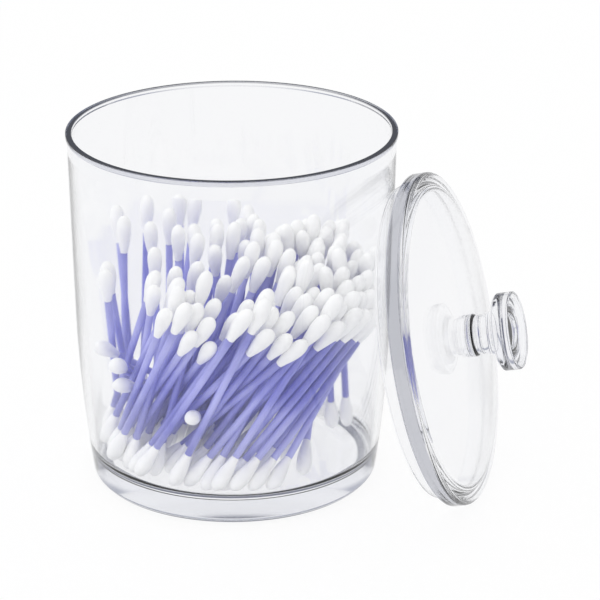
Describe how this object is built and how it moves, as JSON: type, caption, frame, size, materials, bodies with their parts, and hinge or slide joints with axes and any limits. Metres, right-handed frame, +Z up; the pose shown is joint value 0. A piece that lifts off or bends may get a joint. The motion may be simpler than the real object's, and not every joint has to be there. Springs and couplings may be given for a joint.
{
  "type": "lidded storage canister",
  "caption": "Round clear plastic storage canister with a drawn-in foot, its domed knob lid leaning against the side, filled with cotton swabs.",
  "frame": {"origin": "middle of the jar's flat underside, on the jar's axis", "axes": "+Z up along the jar's axis, out of its mouth; +X from the jar to the side where the lid leans; +Y completes the right hand"},
  "size_m": [0.1513, 0.1084, 0.1186],
  "materials": {
    "clear_plastic": "clear, polished",
    "swab_stick": "satin, violet blue",
    "cotton": "soft white cotton"
  },
  "bodies": {
    "root": {"jar": "clear_plastic", "lid": "clear_plastic", "swab_sticks": "swab_stick", "swab_buds": "cotton"}
  },
  "joints": []
}
